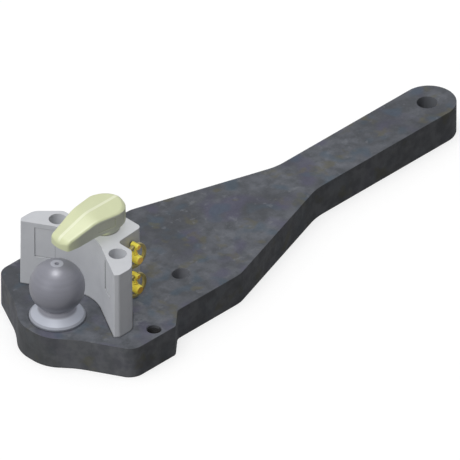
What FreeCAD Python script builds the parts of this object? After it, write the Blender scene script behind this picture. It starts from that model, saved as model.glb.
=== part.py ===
import FreeCAD, Part
import math
import os
from FreeCAD import Vector

# Tractor drawbar with an 80 mm coupling ball, a swinging hold-down over it and two locking pins.
# Millimetres. Everything is modelled about the ball: x runs from the ball's axis towards the
# tractor, y to the left, z up from the bar's top face. place() then moves each piece to the
# part's own frame, whose origin is the drawbar pin bore's axis at the bar's underside.

# Bar
BAR_THICK = 50.0
SHANK_WIDTH = 80.0
BALL_TO_PIN = 750.0
PIN_BORE_D = 30.0
END_PAST_PIN = 44.0
NOSE_REACH = 52.5
NOSE_SHOULDER_Y = 26.0
NOSE_R = 57.0
WAIST_X = -21.5
WAIST_Y = 63.0
WAIST_R = 130.0
WING_HALF = 137.5
WING_FRONT_X = 18.0
WING_REAR_X = 101.0
WING_FRONT_R = 25.0
WING_REAR_R = 10.0
BODY_HALF = 112.0
BODY_FRONT_X = 130.0
BODY_REAR_X = 257.0
BODY_R = 12.0
TAPER_START_R = 45.0
SHANK_FRONT_X = 482.0
TAPER_END_R = 90.0
SLOT_WIDTH = 24.0
SLOT_TRAVEL = 4.0
SLOT_X = 197.5
SLOT_Y = 51.0
WING_THREAD_D = 24.0
WING_THREAD_PITCH = 3.0
WING_THREAD_X = 75.0
WING_THREAD_INSET = 17.5
THREAD_CHAMFER = 1.5

# Ball bolt and its fastening in the bar's underside
BALL_D = 80.0
BALL_CENTRE_Z = 52.0
BALL_TOP_FLAT_D = 18.0
CENTRE_DRILL_D = 7.0
CENTRE_PILOT_D = 2.8
CENTRE_PILOT_DEPTH = 4.0
CENTRE_DRILL_ANGLE = 60.0
COLLAR_D = 81.0
COLLAR_H = 3.0
COLLAR_CHAMFER = 2.5
CONE_TOP_D = 56.0
CONE_TOP_Z = 13.4
NECK_D = 47.0
THROAT_SWEEP = 1.2
THROAT_RISE = 0.5
BALL_SHANK_D = 44.0
BALL_THREAD_D = 36.0
SEAT_THICK = 21.0
NUT_RECESS_D = 78.0
WASHER_D = 66.0
WASHER_THICK = 5.0
NUT_ACROSS_FLATS = 55.0
NUT_HEX_H = 15.0
CROWN_D = 50.0
CROWN_H = 7.0
CROWN_SLOT = 6.0
BOLT_END_GAP = 1.0
BOLT_END_CHAMFER = 2.0
BALL_SHANK_CHAMFER = 1.0
COTTER_D = 4.6
COTTER_WIRE_D = 2.6
COTTER_LEG_LEAN = 0.1

# Housing
HOUSING_H = 107.5
POCKET_R = 65.0
POCKET_ANGLE = 30.0
ARM_HALF = 99.5
ARM_TIP_STEP = 5.0
ARM_TIP_R = 1.5
ARM_FRONT_X = 26.0
ARM_FRONT_R = 6.0
ARM_END_X = 51.0
ARM_END_R = 20.0
ARM_REAR_X = 81.5
ARM_REAR_R = 10.0
ARM_SHOULDER_Y = 69.0
NOTCH_R = 7.0
TONGUE_FRONT_HALF = 40.5
TONGUE_REAR_HALF = 37.3
TONGUE_REAR_X = 132.5
TONGUE_R = 8.0
HOUSING_DRAFT = 0.6
PANEL_START = 20.0
PANEL_END = 51.0
PANEL_LOW_Z = 50.0
PANEL_HIGH_Z = 100.0
PANEL_DEPTH = 1.0
SCREW_X = 61.5
SCREW_INSET = 39.0
SCREW_THREAD_D = 16.0
SCREW_HEAD_D = 24.0
SCREW_HEAD_H = 16.0
SCREW_LENGTH = 80.0
SCREW_SOCKET = 14.0
SCREW_SOCKET_DEPTH = 8.0
SCREW_SEAT_Z = 46.0
SCREW_CHAMFER = 1.5
COUNTERBORE_D = 26.0
SCREW_HOLE_D = 17.5
DOWEL_D = 12.0
DOWEL_LENGTH = 32.0
DOWEL_CHAMFER = 1.0
DOWEL_BACK = 17.5
DOWEL_INSET = 15.5

# Hold-down and the bushes it turns in
PIVOT_X = 94.5
SHAFT_D = 38.0
SHAFT_END_GAP = 1.3
BUSH_WALL = 3.0
BUSH_PIN_GAP = 5.5
BOSS_D = 44.0
LEVER_BOTTOM_Z = 121.5
LEVER_RIDGE_Z = 150.0
LEVER_REAR_R = 30.6
LEVER_TIP_HALF = 17.5
LEVER_TIP_X = 2.0
LEVER_TIP_BULGE = 3.5
LEVER_TIP_R = 5.0
RIDGE_HALF = 2.5
ROOF_ANGLE = 7.5
BROW_X = 65.0
BROW_R = 55.0
BROW_ANGLE = 18.5
NOSE_ARC_R = 13.0
TIP_BOTTOM_Z = 117.0
TIP_PAD_END_X = 24.0
TIP_RAMP_END_X = 52.0
LEVER_EDGE_R = 4.5
REAR_EDGE_R = 9.5
REAR_EDGE_SPREAD = 3.0
REAR_EDGE_LIFT = 0.1
LABEL_FRONT_X = 57.5
LABEL_REAR_X = 88.5
LABEL_LOW_Z = 126.5
LABEL_HIGH_Z = 142.0
LABEL_DEPTH = 0.8
LABEL_R = 3.0

# Locking pins, linch pins and their rings
PIN_D = 14.0
PIN_X = 110.0
PIN_LOW_Z = 17.5
PIN_SPACING = 51.5
PIN_END_Y = 57.0
PIN_CHAMFER = 1.5
PIN_HEAD_D = 24.0
PIN_HEAD_H = 7.0
LINCH_INSET = 9.4
LINCH_D = 4.5
LINCH_TIP = 9.8
LINCH_POINT_R = 1.2
LINCH_POINT_H = 2.0
LINCH_SHOULDER_D = 6.4
LINCH_SHOULDER_H = 1.8
LINCH_HEAD_D = 8.4
LINCH_HEAD_L = 14.0
LINCH_HEAD_CHAMFER = 0.8
RING_HINGE = 21.7
RING_HINGE_D = 3.4
RING_WIDTH = 4.8
RING_THICK = 5.0
RING_R = 17.6
RING_DROP = 34.7
RING_STRAIGHT = 4.0
RING_EDGE_R = 0.7

# Clearances
RUNNING = 0.03
SLIDING = 0.1
LOOSE = 0.3

# How far a cutter or an envelope reaches past the piece it shapes
PAST = 1.0

PARTS_DIR = "parts"


def rounded_wire(corners, z=0.0):
    """Closed outline at height z from (x, y, radius) corners, each rounded by a tangent arc."""
    count = len(corners)
    spans = []
    for i in range(count):
        x, y, radius = corners[i]
        here = Vector(x, y, z)
        before = Vector(corners[i - 1][0], corners[i - 1][1], z) - here
        after = Vector(corners[(i + 1) % count][0], corners[(i + 1) % count][1], z) - here
        before.normalize()
        after.normalize()
        half = before.getAngle(after) / 2
        if radius <= 0:
            spans.append((here, None, here))
            continue
        setback = radius / math.tan(half)
        inward = before + after
        inward.normalize()
        middle = here + inward * (radius / math.sin(half) - radius)
        spans.append((here + before * setback, middle, here + after * setback))
    edges = []
    for i in range(count):
        start, middle, end = spans[i]
        if middle is not None:
            edges.append(Part.Arc(start, middle, end).toShape())
        following = spans[(i + 1) % count][0]
        if end.distanceToPoint(following) > 1e-6:
            edges.append(Part.LineSegment(end, following).toShape())
    return Part.Wire(edges)


def both_sides(half):
    """Full outline from the corners of its right half, mirrored about the x axis."""
    return half + [(x, -y, r) for x, y, r in reversed(half)]


def slab(corners, low, high):
    """Flat plate with the given outline between two heights."""
    return Part.Face(rounded_wire(corners, low)).extrude(Vector(0, 0, high - low))


def cylinder(diameter, low, high, x=0.0, y=0.0):
    return Part.makeCylinder(diameter / 2, high - low, Vector(x, y, low), Vector(0, 0, 1))


def cross_cylinder(diameter, start_y, end_y, x, z):
    return Part.makeCylinder(diameter / 2, end_y - start_y, Vector(x, start_y, z), Vector(0, 1, 0))


def turned(profile, x=0.0, y=0.0):
    """Solid of revolution about a vertical axis from (radius, z) points."""
    points = [Vector(r, 0, z) for r, z in profile]
    face = Part.Face(Part.makePolygon(points + points[:1]))
    solid = face.revolve(Vector(0, 0, 0), Vector(0, 0, 1), 360)
    solid.translate(Vector(x, y, 0))
    return solid


def hexagon(across_flats, low, high, x=0.0, y=0.0):
    radius = across_flats / 2 / math.cos(math.radians(30))
    corners = []
    for k in range(6):
        turn = math.radians(60 * k)
        corners.append((x + radius * math.cos(turn), y + radius * math.sin(turn), 0))
    return slab(corners, low, high)


def chamfered_hole(diameter, chamfer, low, high, x, y):
    """Cutter for a vertical hole with a chamfered mouth at both ends."""
    radius = diameter / 2
    profile = [(0, low), (radius + chamfer, low), (radius, low + chamfer),
               (radius, high - chamfer), (radius + chamfer, high), (0, high)]
    return turned(profile, x, y)


def place(shape):
    """Moves a shape from the ball's axes to the part's own frame."""
    shape.translate(Vector(-BALL_TO_PIN, 0, BAR_THICK))
    return shape


def wing_thread_y():
    """Distance of a wing's tapped hole from the middle."""
    return WING_HALF - WING_THREAD_INSET


def bolt_slot(x, y):
    """Cutter for a short slot through the bar, long along x."""
    r = SLOT_WIDTH / 2
    reach = r + SLOT_TRAVEL / 2
    corners = [(x - reach, y - r, r - 0.001), (x + reach, y - r, r - 0.001),
               (x + reach, y + r, r - 0.001), (x - reach, y + r, r - 0.001)]
    return slab(corners, -BAR_THICK, 0)


def drawbar():
    """Flame-cut bar: rounded nose, two wings, a body that tapers to the shank, and its holes."""
    half = [
        (-NOSE_REACH, -NOSE_SHOULDER_Y, NOSE_R),
        (WAIST_X, -WAIST_Y, WAIST_R),
        (WING_FRONT_X, -WING_HALF, WING_FRONT_R),
        (WING_REAR_X, -WING_HALF, WING_REAR_R),
        (BODY_FRONT_X, -BODY_HALF, BODY_R),
        (BODY_REAR_X, -BODY_HALF, TAPER_START_R),
        (SHANK_FRONT_X, -SHANK_WIDTH / 2, TAPER_END_R),
        (BALL_TO_PIN + END_PAST_PIN, -SHANK_WIDTH / 2, SHANK_WIDTH / 2 - 0.01),
    ]
    bar = slab(both_sides(half), -BAR_THICK, 0)
    cuts = [
        cylinder(PIN_BORE_D, -BAR_THICK, 0, BALL_TO_PIN),
        cylinder(BALL_SHANK_D + 2 * LOOSE, -BAR_THICK, 0),
        cylinder(NUT_RECESS_D, -BAR_THICK, -SEAT_THICK),
    ]
    tap_d = WING_THREAD_D - WING_THREAD_PITCH
    screw_depth = SCREW_LENGTH - SCREW_SEAT_Z
    for side in (-1, 1):
        cuts.append(bolt_slot(SLOT_X, side * SLOT_Y))
        cuts.append(chamfered_hole(tap_d, THREAD_CHAMFER, -BAR_THICK, 0,
                                   WING_THREAD_X, side * wing_thread_y()))
        cuts.append(cylinder(SCREW_THREAD_D, -screw_depth - LOOSE, 0, SCREW_X, side * screw_y()))
        cuts.append(cylinder(DOWEL_D, -DOWEL_LENGTH / 2 - LOOSE, 0, dowel_x(), side * dowel_y()))
    return bar.cut(cuts)


def ball():
    """Turned ball bolt: ball with a flat top, short neck, cone, collar, shank and thread."""
    ball_r = BALL_D / 2
    flat_r = BALL_TOP_FLAT_D / 2
    top_z = BALL_CENTRE_Z + math.sqrt(ball_r ** 2 - flat_r ** 2)
    neck_r = NECK_D / 2
    neck_z = BALL_CENTRE_Z - math.sqrt(ball_r ** 2 - neck_r ** 2)
    bolt_end = -BAR_THICK + BOLT_END_GAP
    pilot_r = CENTRE_PILOT_D / 2
    cone = (CENTRE_DRILL_D / 2 - pilot_r) / math.tan(math.radians(CENTRE_DRILL_ANGLE / 2))
    sphere = Part.Arc(Vector(neck_r, 0, neck_z), Vector(ball_r, 0, BALL_CENTRE_Z),
                      Vector(flat_r, 0, top_z)).toShape()
    corners = [
        (flat_r, top_z), (CENTRE_DRILL_D / 2, top_z), (pilot_r, top_z - cone),
        (pilot_r, top_z - cone - CENTRE_PILOT_DEPTH), (0, top_z - cone - CENTRE_PILOT_DEPTH),
        (0, bolt_end), (BALL_THREAD_D / 2 - BOLT_END_CHAMFER, bolt_end),
        (BALL_THREAD_D / 2, bolt_end + BOLT_END_CHAMFER),
        (BALL_THREAD_D / 2, -SEAT_THICK),
        (BALL_SHANK_D / 2, -SEAT_THICK + BALL_SHANK_CHAMFER),
        (BALL_SHANK_D / 2, 0), (COLLAR_D / 2, 0), (COLLAR_D / 2, COLLAR_H),
        (COLLAR_D / 2 - COLLAR_CHAMFER, COLLAR_H + COLLAR_CHAMFER),
        (CONE_TOP_D / 2, CONE_TOP_Z),
    ]
    points = [Vector(r, 0, z) for r, z in corners]
    edges = [sphere]
    for start, end in zip(points, points[1:]):
        edges.append(Part.LineSegment(start, end).toShape())
    throat = Vector(neck_r + THROAT_SWEEP, 0, (CONE_TOP_Z + neck_z) / 2 + THROAT_RISE)
    edges.append(Part.Arc(points[-1], throat, Vector(neck_r, 0, neck_z)).toShape())
    face = Part.Face(Part.Wire(Part.__sortEdges__(edges)))
    bolt = face.revolve(Vector(0, 0, 0), Vector(0, 0, 1), 360)
    return bolt.cut(cross_cylinder(COTTER_D + 2 * LOOSE, -BALL_D, BALL_D, 0, cotter_z()))


def nut_top_z():
    return -SEAT_THICK - WASHER_THICK


def crown_top_z():
    return nut_top_z() - NUT_HEX_H


def cotter_z():
    """Height of the cotter pin, in the middle of the crown's slots."""
    return crown_top_z() - CROWN_H / 2


def ball_washer():
    ring = cylinder(WASHER_D, nut_top_z(), -SEAT_THICK)
    return ring.cut(cylinder(BALL_THREAD_D + 2 * LOOSE, nut_top_z(), -SEAT_THICK))


def ball_nut():
    """Castle nut: hexagon with a round slotted crown below it."""
    low = crown_top_z() - CROWN_H
    body = hexagon(NUT_ACROSS_FLATS, crown_top_z(), nut_top_z())
    flat_r = NUT_ACROSS_FLATS / 2
    corner_r = flat_r / math.cos(math.radians(30))
    rise = (corner_r - flat_r) * math.tan(math.radians(30))
    body = body.common(turned([(0, crown_top_z()), (flat_r, crown_top_z()),
                               (corner_r, crown_top_z() + rise), (corner_r, nut_top_z()),
                               (0, nut_top_z())]))
    nut = body.fuse(cylinder(CROWN_D, low, crown_top_z())).removeSplitter()
    cuts = [cylinder(BALL_THREAD_D + 2 * RUNNING, low, nut_top_z())]
    for k in range(3):
        slot = Part.makeBox(CROWN_D + 2 * PAST, CROWN_SLOT, CROWN_H,
                            Vector(-CROWN_D / 2 - PAST, -CROWN_SLOT / 2, low))
        slot.rotate(Vector(0, 0, 0), Vector(0, 0, 1), 60 * k + 30)
        cuts.append(slot)
    return nut.cut(cuts)


def ball_cotter():
    """Split pin through the crown: eye on one side, two legs bent round the crown on the other."""
    z = cotter_z()
    reach = CROWN_D / 2 + COTTER_WIRE_D + LOOSE
    pin = cross_cylinder(COTTER_D, -reach, reach, 0, z)
    eye_r = COTTER_D - COTTER_WIRE_D / 2
    eye = Part.makeTorus(eye_r, COTTER_WIRE_D / 2, Vector(0, -reach - eye_r, z), Vector(0, 0, 1))
    pin = pin.fuse(eye)
    for side in (-1, 1):
        start = Vector(side * COTTER_WIRE_D / 3, reach - COTTER_WIRE_D / 2, z)
        leg = Part.makeCylinder(COTTER_WIRE_D / 2, CROWN_D / 4, start,
                                Vector(side, -COTTER_LEG_LEAN, 0))
        pin = pin.fuse(leg)
    return pin.removeSplitter()


def screw_y():
    """Distance of a housing screw's axis from the middle."""
    return ARM_HALF - SCREW_INSET


def pocket_x(y, grow=0.0):
    """Where the pocket's inner flat lies at a distance y from the middle."""
    tilt = math.radians(POCKET_ANGLE)
    return (POCKET_R - grow - y * math.sin(tilt)) / math.cos(tilt)


def dowel_x():
    return pocket_x(ARM_HALF - ARM_TIP_STEP) + DOWEL_BACK


def dowel_y():
    return ARM_HALF - DOWEL_INSET


def housing_outline(grow):
    """Right half of the housing's plan, moved outwards by grow for the draft."""
    tip_y = ARM_HALF - ARM_TIP_STEP + grow
    end_y = ARM_HALF + grow
    tip_x = pocket_x(tip_y, grow)
    turn = math.tan(math.radians(45) / 2)
    return [
        (tip_x, -tip_y, ARM_TIP_R),
        (ARM_FRONT_X - grow * turn, -end_y, ARM_FRONT_R),
        (ARM_END_X + grow * turn, -end_y, ARM_END_R),
        (ARM_REAR_X + grow, -ARM_SHOULDER_Y - grow * turn, ARM_REAR_R),
        (ARM_REAR_X + grow, -TONGUE_FRONT_HALF - grow, NOTCH_R),
        (TONGUE_REAR_X + grow, -TONGUE_REAR_HALF - grow, TONGUE_R),
    ]


def housing_wire(grow, z):
    tilt = math.radians(POCKET_ANGLE)
    pocket_r = POCKET_R - grow
    throat = [(pocket_r / math.cos(tilt), 0, pocket_r)]
    return rounded_wire(throat + both_sides(housing_outline(grow)), z)


def panel(side):
    """Cutter for the shallow panel on an arm's inner flat."""
    tilt = math.radians(POCKET_ANGLE)
    length = PANEL_END - PANEL_START
    box = Part.makeBox(2 * PANEL_DEPTH, length, PANEL_HIGH_Z - PANEL_LOW_Z,
                       Vector(POCKET_R - PANEL_DEPTH, PANEL_START, PANEL_LOW_Z))
    box.rotate(Vector(0, 0, 0), Vector(0, 0, 1), math.degrees(tilt))
    if side < 0:
        box = box.mirror(Vector(0, 0, 0), Vector(0, 1, 0))
    return box


def hitch_housing():
    """Cast housing: two arms round the ball's pocket and a tongue that carries the shaft."""
    body = Part.makeLoft([housing_wire(HOUSING_DRAFT, 0), housing_wire(0, HOUSING_H)], True, True)
    cuts = [cylinder(SHAFT_D + 2 * LOOSE, 0, HOUSING_H, PIVOT_X)]
    for low, high in bush_spans():
        cuts.append(cylinder(SHAFT_D + 2 * BUSH_WALL, low, high, PIVOT_X))
    for z in pin_heights():
        cuts.append(cross_cylinder(PIN_D + 2 * SLIDING, -ARM_HALF, ARM_HALF, PIN_X, z))
    for side in (-1, 1):
        y = side * screw_y()
        cuts.append(cylinder(COUNTERBORE_D, SCREW_SEAT_Z, HOUSING_H, SCREW_X, y))
        cuts.append(cylinder(SCREW_HOLE_D, 0, SCREW_SEAT_Z, SCREW_X, y))
        cuts.append(cylinder(DOWEL_D, 0, DOWEL_LENGTH / 2 + LOOSE, dowel_x(), side * dowel_y()))
        cuts.append(panel(side))
    return body.cut(cuts)


def housing_screw(side):
    """Socket head screw from the arm's counterbore into the bar."""
    top = SCREW_SEAT_Z + SCREW_HEAD_H
    end = SCREW_SEAT_Z - SCREW_LENGTH
    head_r = SCREW_HEAD_D / 2
    shank_r = SCREW_THREAD_D / 2
    y = side * screw_y()
    c = SCREW_CHAMFER
    screw = turned([(0, end), (shank_r - c, end), (shank_r, end + c), (shank_r, SCREW_SEAT_Z),
                    (head_r, SCREW_SEAT_Z), (head_r, top - c), (head_r - c, top), (0, top)],
                   SCREW_X, y)
    return screw.cut(hexagon(SCREW_SOCKET, top - SCREW_SOCKET_DEPTH, top, SCREW_X, y))


def dowel_pin(side):
    half = DOWEL_LENGTH / 2
    r = DOWEL_D / 2
    c = DOWEL_CHAMFER
    return turned([(0, -half), (r - c, -half), (r, -half + c), (r, half - c), (r - c, half),
                   (0, half)], dowel_x(), side * dowel_y())


def bush_spans():
    """Bottom and top of the bush between the locking pins and of the one above them."""
    clear = PIN_D / 2 + BUSH_PIN_GAP
    low_pin, high_pin = pin_heights()
    return [(low_pin + clear, high_pin - clear), (high_pin + clear, HOUSING_H)]


def bush(low, high):
    outer = cylinder(SHAFT_D + 2 * BUSH_WALL, low, high, PIVOT_X)
    return outer.cut(cylinder(SHAFT_D + 2 * RUNNING, low, high, PIVOT_X))


def pin_heights():
    return [PIN_LOW_Z, PIN_LOW_Z + PIN_SPACING]


def lever_plan():
    """Lever from above: round about the pivot, straight sides closing to a bowed tip."""
    reach = PIVOT_X - LEVER_TIP_X - LEVER_TIP_BULGE
    lean = math.asin((LEVER_REAR_R - LEVER_TIP_HALF) / reach)
    side_x = PIVOT_X - LEVER_REAR_R * math.sin(lean)
    side_y = LEVER_REAR_R * math.cos(lean)
    tip_x = LEVER_TIP_X + LEVER_TIP_BULGE
    tip_y = side_y - (side_x - tip_x) * math.tan(lean)
    z = HOUSING_H
    rear = Part.Arc(Vector(side_x, side_y, z), Vector(PIVOT_X + LEVER_REAR_R, 0, z),
                    Vector(side_x, -side_y, z)).toShape()
    near = Part.LineSegment(Vector(side_x, -side_y, z), Vector(tip_x, -tip_y, z)).toShape()
    front = Part.Arc(Vector(tip_x, -tip_y, z), Vector(LEVER_TIP_X, 0, z),
                     Vector(tip_x, tip_y, z)).toShape()
    far = Part.LineSegment(Vector(tip_x, tip_y, z), Vector(side_x, side_y, z)).toShape()
    plan = Part.Face(Part.Wire([rear, near, front, far])).extrude(Vector(0, 0, 2 * BALL_D))
    corners = [e for e in plan.Edges if abs(e.BoundBox.ZLength) > BALL_D
               and abs(e.BoundBox.Center.x - tip_x) < 1e-3]
    return plan.makeFillet(LEVER_TIP_R, corners), lean


def ridge_edges(floor_z):
    """Side view of the lever's crown, closed down to floor_z: level, brow, slope and nose."""
    brow = math.radians(BROW_ANGLE)
    brow_end = Vector(BROW_X - BROW_R * math.sin(brow), 0,
                      LEVER_RIDGE_Z - BROW_R * (1 - math.cos(brow)))
    nose_x = LEVER_TIP_X + NOSE_ARC_R * (1 - math.sin(brow))
    nose = Vector(nose_x, 0, brow_end.z - (brow_end.x - nose_x) * math.tan(brow))
    centre = nose + Vector(math.sin(brow), 0, -math.cos(brow)) * NOSE_ARC_R
    front = Vector(centre.x - NOSE_ARC_R, 0, centre.z)
    half = (brow + math.pi / 2) / 2
    mid_nose = centre + Vector(-math.sin(half), 0, math.cos(half)) * NOSE_ARC_R
    mid_brow = Vector(BROW_X - BROW_R * math.sin(brow / 2), 0,
                      LEVER_RIDGE_Z - BROW_R * (1 - math.cos(brow / 2)))
    rear_x = PIVOT_X + LEVER_REAR_R + PAST
    start = Vector(BROW_X, 0, LEVER_RIDGE_Z)
    corner = Vector(rear_x, 0, LEVER_RIDGE_Z)
    floor = [Vector(rear_x, 0, floor_z), Vector(front.x, 0, floor_z)]
    return [
        Part.LineSegment(corner, start).toShape(),
        Part.Arc(start, mid_brow, brow_end).toShape(),
        Part.LineSegment(brow_end, nose).toShape(),
        Part.Arc(nose, mid_nose, front).toShape(),
        Part.LineSegment(front, floor[1]).toShape(),
        Part.LineSegment(floor[1], floor[0]).toShape(),
        Part.LineSegment(floor[0], corner).toShape(),
    ]


def lever_prism(width_fall, lift=0.0):
    """Side view of the crown, raised by lift and swept sideways along each given (dy, dz)."""
    face = Part.Face(Part.Wire(ridge_edges(HOUSING_H - BALL_D)))
    face.translate(Vector(0, 0, lift))
    first, second = [face.extrude(Vector(0, dy, dz)) for dy, dz in width_fall]
    return first.fuse(second).removeSplitter()


def rear_round(side):
    """Envelope under one of the crown's faces, rounded more at the rear than along the flank."""
    half = LEVER_REAR_R + REAR_EDGE_SPREAD
    rear_x = PIVOT_X + LEVER_REAR_R + REAR_EDGE_LIFT
    front_x = LEVER_TIP_X - half
    corners = [(front_x, -half, 0), (rear_x, -half, half - 0.01),
               (rear_x, half, half - 0.01), (front_x, half, 0)]
    width = half + PAST
    slope = math.tan(math.radians(ROOF_ANGLE))
    peak = LEVER_RIDGE_Z + RIDGE_HALF * slope + REAR_EDGE_LIFT
    section = [Vector(front_x, -width, 0), Vector(front_x, width, 0),
               Vector(front_x, width, peak - side * width * slope),
               Vector(front_x, -width, peak + side * width * slope)]
    under = Part.Face(Part.makePolygon(section + section[:1]))
    under = under.extrude(Vector(rear_x - front_x + PAST, 0, 0))
    body = slab(corners, 0, LEVER_RIDGE_Z + BALL_D).common(under)
    return body.makeFillet(REAR_EDGE_R, [e for e in rim_edges(body) if e.BoundBox.XMax > PIVOT_X])


def lever_crown(plan):
    """Lever's body under two faces that fall away from the ridge, with its rim rounded off."""
    width = LEVER_REAR_R + PAST
    slope = math.tan(math.radians(ROOF_ANGLE))
    roof = lever_prism([(width, -width * slope), (-width, -width * slope)], RIDGE_HALF * slope)
    body = plan.common(roof).removeSplitter()
    body = body.makeFillet(LEVER_EDGE_R, rim_edges(body))
    land = lever_prism([(width, 0), (-width, 0)])
    body = body.common(land)
    return body.common(rear_round(1).common(rear_round(-1)))


def rim_edges(body):
    """Edges where the lever's upright walls meet its crown."""
    chosen = []
    for edge in body.Edges:
        rises = []
        for face in body.ancestorsOfType(edge, Part.Face):
            u0, u1, v0, v1 = face.ParameterRange
            rises.append(abs(face.normalAt((u0 + u1) / 2, (v0 + v1) / 2).z))
        above = edge.BoundBox.ZMin > HOUSING_H + PAST
        if above and len(rises) == 2 and min(rises) < 1e-3 < max(rises):
            chosen.append(edge)
    return chosen


def lever_underside():
    """Side view of the lever's belly: level at the rear, a ramp down to the pad at the tip."""
    rear_x = PIVOT_X + LEVER_REAR_R + PAST
    front_x = LEVER_TIP_X - PAST
    top_z = LEVER_RIDGE_Z + PAST
    points = [
        Vector(front_x, 0, TIP_BOTTOM_Z), Vector(TIP_PAD_END_X, 0, TIP_BOTTOM_Z),
        Vector(TIP_RAMP_END_X, 0, LEVER_BOTTOM_Z), Vector(rear_x, 0, LEVER_BOTTOM_Z),
        Vector(rear_x, 0, top_z), Vector(front_x, 0, top_z),
    ]
    face = Part.Face(Part.makePolygon(points + points[:1]))
    face.translate(Vector(0, -LEVER_REAR_R - PAST, 0))
    return face.extrude(Vector(0, 2 * (LEVER_REAR_R + PAST), 0))


def label_recess(lean):
    """Cutters for the shallow bare panel on each flank near the pivot."""
    length = LABEL_REAR_X - LABEL_FRONT_X
    corners = [(0, LABEL_LOW_Z, LABEL_R), (length, LABEL_LOW_Z, LABEL_R),
               (length, LABEL_HIGH_Z, LABEL_R), (0, LABEL_HIGH_Z, LABEL_R)]
    plate = Part.Face(rounded_wire(corners)).extrude(Vector(0, 0, 2 * LABEL_DEPTH))
    plate.rotate(Vector(0, 0, 0), Vector(1, 0, 0), 90)
    plate.translate(Vector(0, LABEL_DEPTH, 0))
    plate.rotate(Vector(0, 0, 0), Vector(0, 0, 1), -math.degrees(lean))
    flank_y = LEVER_REAR_R / math.cos(lean) - (PIVOT_X - LABEL_FRONT_X) * math.tan(lean)
    plate.translate(Vector(LABEL_FRONT_X, -flank_y, 0))
    return [plate, plate.mirror(Vector(0, 0, 0), Vector(0, 1, 0))]


def hold_down():
    """Cast lever with its boss and grooved shaft in one piece."""
    plan, lean = lever_plan()
    lever = lever_crown(plan).common(lever_underside())
    boss_low = HOUSING_H + LOOSE
    shaft = cylinder(BOSS_D, boss_low, LEVER_BOTTOM_Z + PAST, PIVOT_X)
    shaft = shaft.fuse(cylinder(SHAFT_D, SHAFT_END_GAP, boss_low, PIVOT_X))
    reach = PIN_X - PIVOT_X - PIN_D / 2 - LOOSE
    grooves = []
    for z in pin_heights():
        half = PIN_D / 2 + LOOSE
        ring = cylinder(SHAFT_D + 2 * PAST, z - half, z + half, PIVOT_X)
        grooves.append(ring.cut(cylinder(2 * reach, z - half, z + half, PIVOT_X)))
    lever = lever.fuse(shaft.cut(grooves)).removeSplitter()
    return lever.cut(label_recess(lean))


def tongue_half(x, z):
    """Half the tongue's width at a place on its tapered and drafted side."""
    along = (x - ARM_REAR_X) / (TONGUE_REAR_X - ARM_REAR_X)
    taper = along * (TONGUE_REAR_HALF - TONGUE_FRONT_HALF)
    return TONGUE_FRONT_HALF + taper + HOUSING_DRAFT * (1 - z / HOUSING_H)


def locking_pin(z):
    """Headed pin across the tongue, behind the shaft, drilled for its linch pin."""
    head_y = tongue_half(PIN_X - PIN_HEAD_D / 2, z - PIN_HEAD_D / 2) + LOOSE
    r = PIN_D / 2
    head_r = PIN_HEAD_D / 2
    profile = [(0, -PIN_END_Y), (r - PIN_CHAMFER, -PIN_END_Y), (r, -PIN_END_Y + PIN_CHAMFER),
               (r, head_y), (head_r, head_y), (head_r, head_y + PIN_HEAD_H - PIN_CHAMFER),
               (head_r - PIN_CHAMFER, head_y + PIN_HEAD_H), (0, head_y + PIN_HEAD_H)]
    pin = turned(profile)
    pin.rotate(Vector(0, 0, 0), Vector(1, 0, 0), -90)
    pin.translate(Vector(PIN_X, 0, z))
    hole = cylinder(LINCH_D + 2 * LOOSE, z - PIN_D, z + PIN_D, PIN_X, linch_y())
    return pin.cut(hole)


def linch_y():
    return -PIN_END_Y + LINCH_INSET


def linch_pin(z):
    """Linch pin: pointed shank with a shoulder and a short cross bar, drilled, for its head."""
    shank_r = LINCH_D / 2
    shoulder_r = LINCH_SHOULDER_D / 2
    seat = z + PIN_D / 2 + LOOSE
    collar = seat + LINCH_SHOULDER_H
    hinge = z + RING_HINGE
    tip = z - LINCH_TIP
    stem = turned([(0, tip), (LINCH_POINT_R, tip), (shank_r, tip + LINCH_POINT_H),
                   (shank_r, seat), (shoulder_r, seat), (shoulder_r, collar), (shank_r, collar),
                   (shank_r, hinge), (0, hinge)], PIN_X, linch_y())
    half = LINCH_HEAD_L / 2
    head = cross_cylinder(LINCH_HEAD_D, linch_y() - half, linch_y() + half, PIN_X, hinge)
    rims = [e for e in head.Edges if e.BoundBox.YLength < 1e-6]
    head = head.makeChamfer(LINCH_HEAD_CHAMFER, rims)
    eye = Part.makeCylinder(RING_HINGE_D / 2 + SLIDING, 2 * LINCH_HEAD_D,
                            Vector(PIN_X - LINCH_HEAD_D, linch_y(), hinge), Vector(1, 0, 0))
    return stem.fuse(head).removeSplitter().cut(eye)


def ring_outline(grow):
    """Ring's outline, grown outwards from its middle line: level top, two bends, round below."""
    half = RING_STRAIGHT / 2
    drop = RING_DROP - RING_R
    bend = (RING_R ** 2 - drop ** 2 - half ** 2) / (2 * (RING_R - drop))
    turn = math.pi / 2 - math.atan2(drop - bend, half)

    def place_at(side, angle, radius, x, z):
        return Vector(side * (x + radius * math.sin(angle)), 0, z + radius * math.cos(angle))

    top = [place_at(side, 0, bend + grow, half, -bend) for side in (-1, 1)]
    middle = [place_at(side, turn / 2, bend + grow, half, -bend) for side in (-1, 1)]
    end = [place_at(side, turn, bend + grow, half, -bend) for side in (-1, 1)]
    bottom = Vector(0, 0, -RING_DROP - grow)
    return Part.Wire([
        Part.LineSegment(top[0], top[1]).toShape(),
        Part.Arc(top[1], middle[1], end[1]).toShape(),
        Part.Arc(end[1], bottom, end[0]).toShape(),
        Part.Arc(end[0], middle[0], top[0]).toShape(),
    ])


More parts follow.
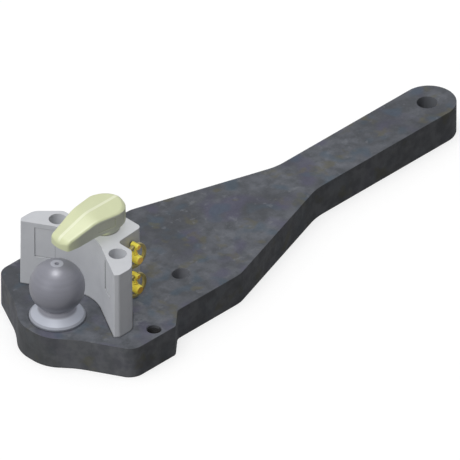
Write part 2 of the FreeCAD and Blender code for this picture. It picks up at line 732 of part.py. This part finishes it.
def linch_ring(z):
    """Spring ring of flattened wire, its two ends drawn round where they enter the head."""
    band = Part.Face(ring_outline(RING_WIDTH / 2)).extrude(Vector(0, RING_THICK, 0))
    band = band.cut(Part.Face(ring_outline(-RING_WIDTH / 2)).extrude(Vector(0, RING_THICK, 0)))
    band.translate(Vector(0, -RING_THICK / 2, 0))
    band = band.makeChamfer(RING_EDGE_R, [e for e in band.Edges if e.BoundBox.YLength < 1e-6])
    gap = LINCH_HEAD_D / 2 + LOOSE
    band = band.cut(Part.makeBox(2 * gap, 2 * RING_THICK, 2 * RING_WIDTH,
                                 Vector(-gap, -RING_THICK, -RING_WIDTH)))
    hinge = Part.makeCylinder(RING_HINGE_D / 2, 2 * (gap + PAST), Vector(-gap - PAST, 0, 0),
                              Vector(1, 0, 0))
    ring = band.fuse(hinge).removeSplitter()
    ring.translate(Vector(PIN_X, linch_y(), z + RING_HINGE))
    return ring


def all_pieces():
    """Every piece by node name, in the ball's axes."""
    pieces = {
        "drawbar": drawbar(),
        "tow_ball": ball(),
        "ball_washer": ball_washer(),
        "ball_nut": ball_nut(),
        "ball_cotter": ball_cotter(),
        "hitch_housing": hitch_housing(),
        "hold_down": hold_down(),
    }
    for name, side in (("left", 1), ("right", -1)):
        pieces["housing_screw_" + name] = housing_screw(side)
        pieces["dowel_pin_" + name] = dowel_pin(side)
    for name, (low, high) in zip(("lower", "upper"), bush_spans()):
        pieces[name + "_bush"] = bush(low, high)
    for name, z in zip(("lower", "upper"), pin_heights()):
        pieces[name + "_locking_pin"] = locking_pin(z)
        pieces[name + "_linch_pin"] = linch_pin(z)
        pieces[name + "_linch_ring"] = linch_ring(z)
    return pieces


def main():
    os.makedirs(PARTS_DIR, exist_ok=True)
    for name, shape in all_pieces().items():
        solids = shape.Solids
        piece = solids[0] if len(solids) == 1 else Part.makeCompound(solids)
        place(piece).exportStep(os.path.join(PARTS_DIR, name + ".step"))
        print(name, len(solids), piece.isValid(), round(piece.Volume / 1000, 2), "cm3")


main()
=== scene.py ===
import math

import bmesh
import bpy
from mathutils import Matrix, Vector


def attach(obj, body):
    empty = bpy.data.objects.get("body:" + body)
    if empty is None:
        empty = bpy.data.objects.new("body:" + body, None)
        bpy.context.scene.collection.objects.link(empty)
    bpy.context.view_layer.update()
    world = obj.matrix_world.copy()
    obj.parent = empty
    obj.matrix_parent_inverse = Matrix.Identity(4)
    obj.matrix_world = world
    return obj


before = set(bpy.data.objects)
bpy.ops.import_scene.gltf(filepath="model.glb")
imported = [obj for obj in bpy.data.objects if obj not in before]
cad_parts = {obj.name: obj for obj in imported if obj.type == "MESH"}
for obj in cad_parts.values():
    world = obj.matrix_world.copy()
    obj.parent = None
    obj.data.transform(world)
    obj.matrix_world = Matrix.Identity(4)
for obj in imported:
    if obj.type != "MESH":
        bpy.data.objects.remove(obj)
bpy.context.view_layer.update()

# Looks of the drawbar, its ball, housing, hold-down and pins. Metres, in the model's own frame:
# x along the bar towards the tractor, y to the left, z up from the bar's underside.
MM = 0.001

# Where features lie on their pieces, for the masks. A pair is where a mask starts and ends.
BALL_X = -0.75
BAR_TOP = 0.05
PIN_BORE_WALL_R = 15.4 * MM
SLOT_X = BALL_X + 197.5 * MM
SLOT_Y = 51.0 * MM
SLOT_HALF_LENGTH = 14.4 * MM
SLOT_HALF_WIDTH = 12.3 * MM
NOSE_X = (BALL_X - 55.0 * MM, BALL_X - 30.0 * MM)
COLLAR_RIM_Z = (BAR_TOP + 5.3 * MM, BAR_TOP + 5.7 * MM)
CONE_TOP_Z = (BAR_TOP + 12.5 * MM, BAR_TOP + 14.5 * MM)
BALL_FLAT_Z = (BAR_TOP + 90.85 * MM, BAR_TOP + 90.95 * MM)
RIDGE_Y = (2.1 * MM, 2.7 * MM)
BEHIND_TIP_X = (-744.0 * MM, -722.0 * MM)

# Camera: the view down a cube's diagonal, through a lens long enough to keep parallels parallel
VIEW_TURN = -45.0
VIEW_RISE = 35.26
VIEW_DISTANCE = 29.266
VIEW_TARGET = (-0.42694, -0.02453, 0.05)
LENS = 1600.0
SENSOR = 36.0
NEAREST, FARTHEST = 1.0, 100.0

# Light. The floor lies a hair under the bar, so that the two faces don't share one plane.
SKY_LIGHT = 0.36
SKY_IN_GLOSS = 0.62
SKY_SEEN = 1.0
LAMPS = [
    # name, where it shines from, share on a face square to it, spread, shadows, in reflections
    ("key", (-0.10, 0.05, 0.99), 0.13, 40.0, True, True),
    ("top fill", (-0.09, 0.05, 0.99), 0.33, 22.0, False, True),
    ("side fill", (-0.90, 0.12, 0.42), 0.44, 40.0, False, False),
]
FLOOR_SIZE = 60.0
FLOOR_Z = -0.3 * MM
FLOOR_BOUNCE = 0.10
FLOOR_IN_GLOSS = 0.60
FLOOR_SEEN = 0.80
FLOOR_LIFT = 0.24


# Node helpers

def fill(tree, node, inputs):
    """Fills a node's sockets with values or links."""
    for key, value in inputs.items():
        if isinstance(value, bpy.types.NodeSocket):
            tree.links.new(value, node.inputs[key])
        else:
            node.inputs[key].default_value = value


def put(tree, kind, inputs=None, **settings):
    """Adds one shader node, sets it up and fills its sockets."""
    node = tree.nodes.new("ShaderNode" + kind)
    for key, value in settings.items():
        setattr(node, key, value)
    fill(tree, node, inputs or {})
    return node


def use(tree, shared, inputs=None):
    """Places a shared group in a material and returns its outputs."""
    node = put(tree, "Group", node_tree=shared)
    fill(tree, node, inputs or {})
    return node.outputs


def calc(tree, operation, first, second=0.0):
    """A math node's result."""
    return put(tree, "Math", {0: first, 1: second}, operation=operation).outputs[0]


def spread(tree, value, low, high, to_low=0.0, to_high=1.0):
    """value mapped from low..high to to_low..to_high, held at the ends."""
    node = put(tree, "MapRange", {"Value": value, "From Min": low, "From Max": high,
                                  "To Min": to_low, "To Max": to_high})
    return node.outputs["Result"]


def blend(tree, share, first, second):
    """Two colours mixed by share."""
    return put(tree, "Mix", {0: share, 6: first, 7: second}, data_type="RGBA").outputs[2]


def lay(tree, under, mask, share, tint):
    """The colour under, with tint laid over it where mask is, by share at most."""
    return blend(tree, calc(tree, "MULTIPLY", mask, share), under, tint)


def own_place(tree):
    """X, Y and Z in the piece's own axes, which move and turn with the piece."""
    return put(tree, "SeparateXYZ", {0: put(tree, "TexCoord").outputs["Object"]}).outputs


def own_facing(tree, axis):
    """The surface's normal along one of the piece's own axes."""
    return put(tree, "SeparateXYZ", {0: put(tree, "TexCoord").outputs["Normal"]}).outputs[axis]


def from_axis(tree, out_x, out_y):
    """Distance from an upright axis."""
    return calc(tree, "SQRT", calc(tree, "ADD", calc(tree, "MULTIPLY", out_x, out_x),
                                   calc(tree, "MULTIPLY", out_y, out_y)))


# Shared effects

def group(name, inputs, outputs):
    """An empty shared node group with named sockets; returns its tree, entry and exit."""
    tree = bpy.data.node_groups.new(name, "ShaderNodeTree")
    for label, value in inputs:
        socket = tree.interface.new_socket(label, in_out="INPUT", socket_type="NodeSocketFloat")
        socket.default_value = value
    for label, kind in outputs:
        tree.interface.new_socket(label, in_out="OUTPUT", socket_type="NodeSocket" + kind)
    entry = tree.nodes.new("NodeGroupInput")
    leave = tree.nodes.new("NodeGroupOutput")
    return tree, entry.outputs, leave.inputs


def make_cloud():
    """Soft patches over the surface."""
    tree, entry, leave = group("cloud", [
        ("Scale", 10.0), ("Detail", 3.0), ("Low", 0.4), ("High", 0.6), ("Offset", 0.0)],
        [("Mask", "Float")])
    place = put(tree, "TexCoord").outputs["Object"]
    moved = put(tree, "VectorMath", {0: place, 1: entry["Offset"]}, operation="ADD").outputs[0]
    noise = put(tree, "TexNoise", {"Vector": moved, "Scale": entry["Scale"],
                                   "Detail": entry["Detail"], "Roughness": 0.55})
    mask = spread(tree, noise.outputs["Fac"], entry["Low"], entry["High"])
    tree.links.new(mask, leave["Mask"])
    return tree


def make_grain():
    """Fine unevenness of a cast, painted or scaled skin, as a height."""
    tree, entry, leave = group("grain", [("Coarse", 250.0), ("Fine", 1100.0), ("Share", 0.35)],
                               [("Height", "Float")])
    place = put(tree, "TexCoord").outputs["Object"]
    coarse = put(tree, "TexNoise", {"Vector": place, "Scale": entry["Coarse"], "Detail": 2.0})
    fine = put(tree, "TexNoise", {"Vector": place, "Scale": entry["Fine"], "Detail": 1.0})
    small = calc(tree, "MULTIPLY", fine.outputs["Fac"], entry["Share"])
    tree.links.new(calc(tree, "ADD", coarse.outputs["Fac"], small), leave["Height"])
    return tree


def make_soft_edge():
    """Edges rounded by a small radius, and a mask of where they rub, which the materials paint
    lighter: partly edge wear, partly painted edge highlight.
    """
    tree, entry, leave = group("soft edge", [("Radius", 0.8 * MM), ("Wear and highlight", 0.5), ("Break", 90.0)],
                               [("Normal", "Vector"), ("Mask", "Float")])
    rounded = put(tree, "Bevel", {"Radius": entry["Radius"]}, samples=6).outputs["Normal"]
    flat = put(tree, "NewGeometry").outputs["Normal"]
    alike = put(tree, "VectorMath", {0: rounded, 1: flat}, operation="DOT_PRODUCT")
    turned = calc(tree, "SUBTRACT", 1.0, alike.outputs["Value"])
    edge = spread(tree, turned, 0.03, 0.22)
    place = put(tree, "TexCoord").outputs["Object"]
    noise = put(tree, "TexNoise", {"Vector": place, "Scale": entry["Break"], "Detail": 3.0})
    broken = spread(tree, noise.outputs["Fac"], 0.40, 0.62)
    wear_and_highlight_mask = calc(tree, "MULTIPLY", calc(tree, "MULTIPLY", edge, broken), entry["Wear and highlight"])
    tree.links.new(rounded, leave["Normal"])
    tree.links.new(wear_and_highlight_mask, leave["Mask"])
    return tree


def make_cut_lines():
    """Upright drag lines that a cutting flame leaves on a plate's sides, and where they are."""
    tree, entry, leave = group("cut lines", [("Scale", 420.0)],
                               [("Height", "Float"), ("Side", "Float")])
    place = put(tree, "TexCoord").outputs["Object"]
    drawn_out = put(tree, "Mapping", {"Vector": place, "Scale": (1.0, 1.0, 0.05)})
    noise = put(tree, "TexNoise", {"Vector": drawn_out.outputs["Vector"],
                                   "Scale": entry["Scale"], "Detail": 2.0})
    facing = put(tree, "SeparateXYZ", {0: put(tree, "NewGeometry").outputs["Normal"]}).outputs["Z"]
    side = calc(tree, "SUBTRACT", 1.0, spread(tree, calc(tree, "ABSOLUTE", facing), 0.3, 0.8))
    tree.links.new(calc(tree, "MULTIPLY", noise.outputs["Fac"], side), leave["Height"])
    tree.links.new(side, leave["Side"])
    return tree


def make_turning():
    """Fine rings, and broader bands, left by a lathe about an upright axis at x = Axis."""
    tree, entry, leave = group("turning", [("Axis", BALL_X), ("Pitch", 2600.0)],
                               [("Height", "Float"), ("Band", "Float")])
    place = own_place(tree)
    radius = from_axis(tree, calc(tree, "SUBTRACT", place["X"], entry["Axis"]), place["Y"])
    along = calc(tree, "SUBTRACT", place["Z"], radius)
    for label, pitch, detail in (("Height", entry["Pitch"], 2.0), ("Band", 160.0, 1.0)):
        rings = put(tree, "TexNoise", {"W": calc(tree, "MULTIPLY", along, pitch), "Scale": 1.0,
                                       "Detail": detail}, noise_dimensions="1D")
        tree.links.new(rings.outputs["Fac"], leave[label])
    return tree


def make_corner_shade():
    """Painted shade: a mask that darkens inside corners and creases, within Reach of them, by how
    closed-in the surface is.
    """
    tree, entry, leave = group("corner_shade_group", [
        ("Reach", 2.5 * MM), ("Closed", 0.45), ("Open", 0.90), ("Share", 0.6)],
        [("Mask", "Float")])
    opening = put(tree, "AmbientOcclusion", {"Distance": entry["Reach"]}, samples=6).outputs["AO"]
    shut = spread(tree, opening, entry["Closed"], entry["Open"], 1.0, 0.0)
    tree.links.new(calc(tree, "MULTIPLY", shut, entry["Share"]), leave["Mask"])
    return tree


cloud = make_cloud()
grain = make_grain()
soft_edge = make_soft_edge()
cut_lines = make_cut_lines()
turning = make_turning()
corner_shade_group = make_corner_shade()


# Materials. Colours are red, green, blue and alpha, on the linear scale.

def emptied(owner):
    """Switches on the nodes of a material or world, takes out the first ones, returns the tree."""
    owner.use_nodes = True
    owner.node_tree.nodes.clear()
    return owner.node_tree


def new_material(name):
    """A material with one main shader, to be fed."""
    material = bpy.data.materials.new(name)
    tree = emptied(material)
    leave = tree.nodes.new("ShaderNodeOutputMaterial")
    shader = put(tree, "BsdfPrincipled")
    tree.links.new(shader.outputs["BSDF"], leave.inputs["Surface"])
    return material, tree, shader


def spots(tree, scale, detail, low, high, offset=0.0):
    """Mask of soft patches, from the noise's level low up to high."""
    return use(tree, cloud, {"Scale": scale, "Detail": detail, "Low": low, "High": high,
                             "Offset": offset})["Mask"]


def relief(tree, height, depth, edge, strength):
    """A height laid over the rounded edges, as a normal."""
    bump = put(tree, "Bump", {"Height": height, "Distance": depth, "Strength": strength,
                              "Normal": edge["Normal"]})
    return bump.outputs["Normal"]


def bored_walls(tree):
    """Where the walls of the pin bore and of the two body slots are, which tools have cleaned. The
    plate paints them lighter: partly the machined finish, partly painted light inside the holes.
    """
    place = own_place(tree)
    across = calc(tree, "ABSOLUTE", place["Y"])
    in_bore = calc(tree, "LESS_THAN", from_axis(tree, place["X"], across), PIN_BORE_WALL_R)
    along = calc(tree, "ABSOLUTE", calc(tree, "SUBTRACT", place["X"], SLOT_X))
    aside = calc(tree, "ABSOLUTE", calc(tree, "SUBTRACT", across, SLOT_Y))
    in_slot = calc(tree, "MULTIPLY", calc(tree, "LESS_THAN", along, SLOT_HALF_LENGTH),
                   calc(tree, "LESS_THAN", aside, SLOT_HALF_WIDTH))
    upright = calc(tree, "LESS_THAN", calc(tree, "ABSOLUTE", own_facing(tree, "Z")), 0.5)
    return calc(tree, "MULTIPLY", in_bore, upright), calc(tree, "MULTIPLY", in_slot, upright)


PLATE_SPOTS = {
    # scale, detail, low, high, offset
    "broad": (13.0, 5.0, 0.38, 0.62, 0.0),
    "patch": (62.0, 3.0, 0.40, 0.66, 2.3),
    "violet": (22.0, 1.0, 0.52, 0.66, 3.1),
    "blue": (27.0, 1.0, 0.57, 0.68, 9.4),
    "rust": (30.0, 2.0, 0.60, 0.70, 7.7),
    "fleck": (70.0, 5.0, 0.60, 0.72, 1.7),
    "speck": (330.0, 4.0, 0.38, 0.70, 0.0),
    "flakes": (48.0, 4.0, 0.40, 0.62, 6.1),
}
PLATE_TINTS = [
    # spots, share, colour, laid over each other in this order
    ("patch", 0.66, (0.074, 0.079, 0.087, 1)),
    ("violet", 0.60, (0.104, 0.100, 0.148, 1)),
    ("blue", 0.46, (0.078, 0.112, 0.148, 1)),
    ("rust", 0.50, (0.128, 0.120, 0.078, 1)),
    ("fleck", 0.60, (0.185, 0.195, 0.215, 1)),
    ("speck", 0.14, (0.050, 0.052, 0.057, 1)),
]


def scaled_plate():
    """Hot-rolled plate: blue-grey mill scale in patches on top, darker flame-cut sides."""
    material, tree, shader = new_material("scaled plate")
    masks = {name: spots(tree, *row) for name, row in PLATE_SPOTS.items()}
    cuts = use(tree, cut_lines)
    edge = use(tree, soft_edge, {"Radius": 0.9 * MM, "Wear and highlight": 0.45, "Break": 60.0})
    corner_shade = use(tree, corner_shade_group, {"Reach": 3.0 * MM, "Share": 0.8})
    bore, slots = bored_walls(tree)
    # Painted shade: the sides of the rounded nose in front of the ball are painted darker
    nose_side_shade = spread(tree, own_place(tree)["X"], *NOSE_X, 0.75, 0.0)
    sides = blend(tree, masks["flakes"], (0.108, 0.112, 0.119, 1), (0.160, 0.164, 0.173, 1))
    sides = lay(tree, sides, masks["rust"], 0.45, (0.120, 0.118, 0.082, 1))
    sides = blend(tree, nose_side_shade, sides, (0.078, 0.080, 0.080, 1))
    tone = blend(tree, masks["broad"], (0.090, 0.094, 0.105, 1), (0.146, 0.154, 0.174, 1))
    for name, share, tint in PLATE_TINTS:
        tone = lay(tree, tone, masks[name], share, tint)
    tone = lay(tree, tone, cuts["Side"], 0.75, sides)
    # Edges painted lighter: partly rubbed steel, partly painted edge highlight
    tone = blend(tree, edge["Mask"], tone, (0.20, 0.205, 0.215, 1))
    # Bore and slot walls painted lighter: partly machined steel, partly painted light inside the
    # holes
    tone = blend(tree, bore, tone, (0.130, 0.136, 0.150, 1))
    tone = blend(tree, slots, tone, (0.185, 0.192, 0.212, 1))
    # Painted shade: inside corners darkened almost to black
    tone = blend(tree, corner_shade["Mask"], tone, (0.016, 0.016, 0.017, 1))
    skin = use(tree, grain, {"Coarse": 160.0, "Fine": 900.0})["Height"]
    height = calc(tree, "ADD", skin, calc(tree, "MULTIPLY", cuts["Height"], 2.0))
    fill(tree, shader, {
        "Base Color": tone,
        "Roughness": spread(tree, masks["speck"], 0.0, 1.0, 0.48, 0.66),
        "Specular IOR Level": 0.02,
        "Normal": relief(tree, height, 0.20 * MM, edge, 0.8)})
    return material


def painted_ridge_light(tree):
    """The narrow land along the hold-down's crown, where it faces up, painted lighter: painted
    light.
    """
    across = calc(tree, "ABSOLUTE", own_place(tree)["Y"])
    middle = calc(tree, "MULTIPLY", spread(tree, across, *RIDGE_Y, 1.0, 0.0), 0.6)
    return calc(tree, "MULTIPLY", middle, spread(tree, own_facing(tree, "Z"), 0.3, 0.7))


def painted_flank_shade(tree):
    """The hold-down's upright flanks behind the tip, painted darker and greyer: painted shade."""
    flanks = spread(tree, calc(tree, "ABSOLUTE", own_facing(tree, "Y")), 0.80, 0.95)
    behind = spread(tree, own_place(tree)["X"], *BEHIND_TIP_X)
    return calc(tree, "MULTIPLY", calc(tree, "MULTIPLY", flanks, behind), 0.66)


def cast_paint(name, colour, shade, wear_and_highlight, coarse, rough, lever=False):
    """Paint on a casting: slight unevenness, soft shade patches, edges painted lighter (partly
    wear, partly painted edge highlight), painted shade in inside corners.

    The lever's paint is glossier, with painted light along the ridge and painted shade, darker and
    greyer, on the flanks.
    """
    material, tree, shader = new_material(name)
    patch = spots(tree, 26.0, 4.0, 0.40, 0.66)
    speck = spots(tree, 520.0, 2.0, 0.50, 0.72)
    edge = use(tree, soft_edge, {"Radius": 1.0 * MM, "Wear and highlight": 0.6, "Break": 120.0})
    corner_shade = use(tree, corner_shade_group, {"Reach": 2.5 * MM, "Share": 0.75})
    tone = lay(tree, colour, patch, 0.45, shade)
    tone = lay(tree, tone, speck, 0.10, shade)
    # Edges painted lighter: partly worn paint, partly painted edge highlight
    tone = blend(tree, edge["Mask"], tone, wear_and_highlight)
    if lever:
        # Painted light: the ridge land painted lighter
        tone = blend(tree, painted_ridge_light(tree), tone, wear_and_highlight)
        # Painted shade: the flanks painted darker and greyer
        tone = blend(tree, painted_flank_shade(tree), tone, (0.26, 0.27, 0.27, 1))
    # Painted shade: inside corners and recesses darkened
    tone = blend(tree, corner_shade["Mask"], tone, (0.045, 0.045, 0.047, 1))
    height = use(tree, grain, {"Coarse": coarse, "Fine": 1500.0, "Share": 0.25})["Height"]
    fill(tree, shader, {
        "Base Color": tone,
        "Roughness": spread(tree, patch, 0.0, 1.0, rough, rough + 0.10),
        "Specular IOR Level": 0.45,
        "Coat Weight": 1.0 if lever else 0.0,
        "Coat Roughness": 0.45,
        "Coat IOR": 1.9,
        "Normal": relief(tree, height, 0.12 * MM, edge, 0.6)})
    return material


def turned_steel():
    """Turned and polished steel with fine lathe rings: the ball, its cone painted paler as painted
    light, its upright rim darker than the cone as painted shade, and its flat lighter, partly
    machined finish and partly painted light.
    """
    material, tree, shader = new_material("turned steel")
    rings = use(tree, turning)
    smear = spots(tree, 40.0, 3.0, 0.40, 0.66)
    edge = use(tree, soft_edge, {"Radius": 0.4 * MM, "Wear and highlight": 0.35, "Break": 150.0})
    corner_shade = use(tree, corner_shade_group, {"Reach": 2.5 * MM, "Share": 0.7})
    rise = own_place(tree)["Z"]
    cone = spread(tree, rise, *CONE_TOP_Z, 1.0, 0.0)
    rim = spread(tree, rise, *COLLAR_RIM_Z, 1.0, 0.0)
    flat = spread(tree, rise, *BALL_FLAT_Z)
    tone = blend(tree, rings["Band"], (0.225, 0.228, 0.266, 1), (0.252, 0.256, 0.298, 1))
    tone = lay(tree, tone, smear, 0.30, (0.198, 0.200, 0.231, 1))
    # Painted light: the collar's cone painted paler, for light the housing blocks and for its
    # highlight
    tone = blend(tree, cone, tone, (0.460, 0.484, 0.552, 1))
    # Painted shade: the collar's upright rim painted darker than the cone
    tone = blend(tree, rim, tone, (0.300, 0.317, 0.362, 1))
    # The flat painted lighter: partly its machined finish, partly painted light on the up-facing
    # flat
    tone = blend(tree, flat, tone, (0.400, 0.412, 0.470, 1))
    # Edges painted lighter: partly wear, partly painted edge highlight
    tone = blend(tree, edge["Mask"], tone, (0.50, 0.51, 0.55, 1))
    # Painted shade: creases such as the neck and collar darkened
    tone = blend(tree, corner_shade["Mask"], tone, (0.035, 0.035, 0.040, 1))
    fill(tree, shader, {
        "Base Color": tone,
        "Roughness": calc(tree, "ADD", spread(tree, rings["Height"], 0.3, 0.7, 0.32, 0.40),
                          calc(tree, "MULTIPLY", smear, 0.05)),
        "Metallic": 0.15,
        "Specular IOR Level": 0.80,
        "Normal": relief(tree, rings["Height"], 0.010 * MM, edge, 0.6)})
    return material


def cut_ends(tree):
    """The pins' end faces across the bar, where the plating is thin and brownish."""
    across = calc(tree, "ABSOLUTE", own_facing(tree, "Y"))
    return calc(tree, "MULTIPLY", spread(tree, across, 0.85, 0.97), 0.85)


def plated(name, colour, drift, dark, rough, metal, ends=None):
    """Plated or blackened small steel: drifting tint, edges painted brighter (partly wear, partly
    painted edge highlight), painted shade in the corners.
    """
    material, tree, shader = new_material(name)
    cast = spots(tree, 55.0, 2.0, 0.38, 0.64)
    speck = spots(tree, 300.0, 3.0, 0.48, 0.72, 5.3)
    edge = use(tree, soft_edge, {"Radius": 0.35 * MM, "Wear and highlight": 0.5, "Break": 260.0})
    corner_shade = use(tree, corner_shade_group, {"Reach": 5.0 * MM, "Closed": 0.25, "Open": 0.80, "Share": 0.75})
    tone = blend(tree, cast, colour, drift)
    tone = lay(tree, tone, speck, 0.16, dark)
    if ends is not None:
        tone = blend(tree, cut_ends(tree), tone, ends)
    # Edges painted brighter: partly wear, partly painted edge highlight
    tone = blend(tree, edge["Mask"], tone, blend(tree, 0.5, colour, (0.9, 0.88, 0.75, 1)))
    # Painted shade: inside corners and the gaps between head, pin and ring darkened
    tone = blend(tree, corner_shade["Mask"], tone, (0.060, 0.045, 0.020, 1))
    height = use(tree, grain, {"Coarse": 900.0, "Fine": 2600.0})["Height"]
    fill(tree, shader, {
        "Base Color": tone,
        "Roughness": spread(tree, speck, 0.0, 1.0, *rough),
        "Metallic": metal,
        "Normal": relief(tree, height, 0.02 * MM, edge, 0.5)})
    return material


plate_skin = scaled_plate()
housing_skin = cast_paint(
    "grey casting", colour=(0.580, 0.592, 0.620, 1), shade=(0.510, 0.522, 0.555, 1),
    wear_and_highlight=(0.74, 0.75, 0.77, 1), coarse=210.0, rough=0.42)
lever_skin = cast_paint(
    "cream casting", colour=(0.640, 0.680, 0.405, 1), shade=(0.570, 0.605, 0.350, 1),
    wear_and_highlight=(0.86, 0.88, 0.68, 1), coarse=320.0, rough=0.40, lever=True)
ball_skin = turned_steel()
zinc_skin = plated(
    "yellow zinc", colour=(0.95, 0.86, 0.130, 1), drift=(0.92, 0.74, 0.085, 1),
    dark=(0.60, 0.38, 0.045, 1), rough=(0.30, 0.42), metal=0.38, ends=(0.90, 0.48, 0.075, 1))
# Painted shade: the rings get a darker, duller copy of the pins' zinc
ring_zinc_shaded = plated(
    "zinc painted darker", colour=(0.42, 0.36, 0.140, 1), drift=(0.34, 0.28, 0.100, 1),
    dark=(0.20, 0.15, 0.050, 1), rough=(0.36, 0.50), metal=0.30)
black_skin = plated(
    "blackened steel", colour=(0.075, 0.076, 0.080, 1), drift=(0.055, 0.056, 0.060, 1),
    dark=(0.030, 0.028, 0.027, 1), rough=(0.38, 0.55), metal=0.7)
thread_skin = plated(
    "oiled thread", colour=(0.026, 0.026, 0.028, 1), drift=(0.020, 0.020, 0.021, 1),
    dark=(0.012, 0.012, 0.012, 1), rough=(0.40, 0.55), metal=0.0)
pin_skin = plated(
    "ground steel", colour=(0.46, 0.46, 0.48, 1), drift=(0.40, 0.40, 0.42, 1),
    dark=(0.24, 0.24, 0.25, 1), rough=(0.24, 0.36), metal=0.95)
bronze_skin = plated(
    "bearing bronze", colour=(0.62, 0.40, 0.16, 1), drift=(0.52, 0.33, 0.13, 1),
    dark=(0.30, 0.19, 0.09, 1), rough=(0.30, 0.45), metal=0.95)

skins = {
    "drawbar": plate_skin, "tow_ball": ball_skin, "hitch_housing": housing_skin,
    "hold_down": lever_skin, "ball_washer": black_skin, "ball_nut": black_skin,
    "ball_cotter": zinc_skin, "housing_screw_left": black_skin, "housing_screw_right": black_skin,
    "dowel_pin_left": pin_skin, "dowel_pin_right": pin_skin,
    "lower_bush": bronze_skin, "upper_bush": bronze_skin,
    "lower_locking_pin": zinc_skin, "upper_locking_pin": zinc_skin,
    "lower_linch_pin": zinc_skin, "upper_linch_pin": zinc_skin,
    "lower_linch_ring": ring_zinc_shaded, "upper_linch_ring": ring_zinc_shaded,
}
for name, skin in skins.items():
    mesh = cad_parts[name].data
    mesh.materials.clear()
    mesh.materials.append(skin)


# Threads in the wings' tapped holes. The root lies just inside the wall, which has 10.5 mm radius.

THREAD_ROOT_R = 10.47 * MM
THREAD_CREST_R = 9.9 * MM
THREAD_PITCH = 3.0 * MM
THREAD_PROFILE = [
    # share of the pitch, radius
    (0.0, THREAD_ROOT_R), (0.38, THREAD_CREST_R), (0.50, THREAD_CREST_R), (0.88, THREAD_ROOT_R),
]
THREAD_X = BALL_X + 75.0 * MM
THREAD_Y = 120.0 * MM
THREAD_LOW = 2.0 * MM
THREAD_HIGH = BAR_TOP - 2.0 * MM
THREAD_STEPS = 48


def thread_piece(name, y):
    """Inside thread as one ribbon: flanks and crest wound up the hole's wall."""
    turns = int((THREAD_HIGH - THREAD_LOW) / THREAD_PITCH) - 1
    build = bmesh.new()
    rows = []
    for k in range(turns * THREAD_STEPS + 1):
        angle = 2 * math.pi * k / THREAD_STEPS
        rise = THREAD_LOW + THREAD_PITCH * k / THREAD_STEPS
        rows.append([build.verts.new((THREAD_X + r * math.cos(angle), y + r * math.sin(angle),
                                      rise + share * THREAD_PITCH))
                     for share, r in THREAD_PROFILE])
    for lower, upper in zip(rows, rows[1:]):
        for i in range(len(THREAD_PROFILE) - 1):
            build.faces.new((lower[i], lower[i + 1], upper[i + 1], upper[i]))
    mesh = bpy.data.meshes.new(name)
    build.to_mesh(mesh)
    build.free()
    mesh.materials.append(thread_skin)
    piece = bpy.data.objects.new(name, mesh)
    bpy.context.scene.collection.objects.link(piece)
    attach(piece, "bar")


thread_piece("wing_thread_left", THREAD_Y)
thread_piece("wing_thread_right", -THREAD_Y)


# Floor, light and camera

def by_ray(tree, plain, in_gloss, seen):
    """One value for light that is scattered on, one for reflections and one for the camera."""
    path = put(tree, "LightPath").outputs
    glossy = calc(tree, "MAXIMUM", path["Is Glossy Ray"], path["Is Transmission Ray"])
    added = calc(tree, "ADD", calc(tree, "MULTIPLY", glossy, in_gloss - plain),
                 calc(tree, "MULTIPLY", path["Is Camera Ray"], seen - plain))
    return calc(tree, "ADD", added, plain)


def make_floor():
    """Pale floor that keeps the part's soft shadow."""
    bpy.ops.mesh.primitive_plane_add(size=FLOOR_SIZE, location=(0, 0, FLOOR_Z))
    floor = bpy.context.object
    floor.name = "floor"
    material = bpy.data.materials.new("pale floor")
    tree = emptied(material)
    matt = put(tree, "BsdfDiffuse", {
        "Color": by_ray(tree, FLOOR_BOUNCE, FLOOR_IN_GLOSS, FLOOR_SEEN)})
    lift = put(tree, "Emission", {"Strength": by_ray(tree, 0.0, 0.0, FLOOR_LIFT)})
    both = put(tree, "AddShader", {0: matt.outputs[0], 1: lift.outputs[0]})
    leave = tree.nodes.new("ShaderNodeOutputMaterial")
    tree.links.new(both.outputs[0], leave.inputs["Surface"])
    floor.data.materials.append(material)


def make_sky():
    """Plain light from all round, white to the camera."""
    world = bpy.data.worlds.new("studio")
    bpy.context.scene.world = world
    tree = emptied(world)
    white = put(tree, "Background", {
        "Color": (1, 1, 1, 1), "Strength": by_ray(tree, SKY_LIGHT, SKY_IN_GLOSS, SKY_SEEN)})
    leave = tree.nodes.new("ShaderNodeOutputWorld")
    tree.links.new(white.outputs[0], leave.inputs["Surface"])


def make_lamp(name, source, share, lamp_spread, shadows, mirrored):
    """Distant lamp that adds share to the light on a surface that faces it."""
    lamp = bpy.data.lights.new(name, "SUN")
    lamp.energy = math.pi * share
    lamp.angle = math.radians(lamp_spread)
    lamp.use_shadow = shadows
    holder = bpy.data.objects.new(name, lamp)
    holder.visible_glossy = mirrored
    holder.rotation_mode = "QUATERNION"
    holder.rotation_quaternion = Vector(source).to_track_quat("Z", "Y")
    bpy.context.scene.collection.objects.link(holder)


def make_camera():
    """The photograph's view."""
    turn, rise = math.radians(VIEW_TURN), math.radians(VIEW_RISE)
    back = Vector((math.sin(turn) * math.cos(rise), -math.cos(turn) * math.cos(rise),
                   math.sin(rise)))
    data = bpy.data.cameras.new("camera")
    data.lens = LENS
    data.sensor_width = SENSOR
    data.clip_start, data.clip_end = NEAREST, FARTHEST
    camera = bpy.data.objects.new("camera", data)
    camera.location = Vector(VIEW_TARGET) + back * VIEW_DISTANCE
    camera.rotation_mode = "QUATERNION"
    camera.rotation_quaternion = (-back).to_track_quat("-Z", "Y")
    bpy.context.scene.collection.objects.link(camera)
    bpy.context.scene.camera = camera


make_floor()
make_sky()
for lamp_row in LAMPS:
    make_lamp(*lamp_row)
make_camera()
bpy.context.scene.view_settings.view_transform = "Standard"
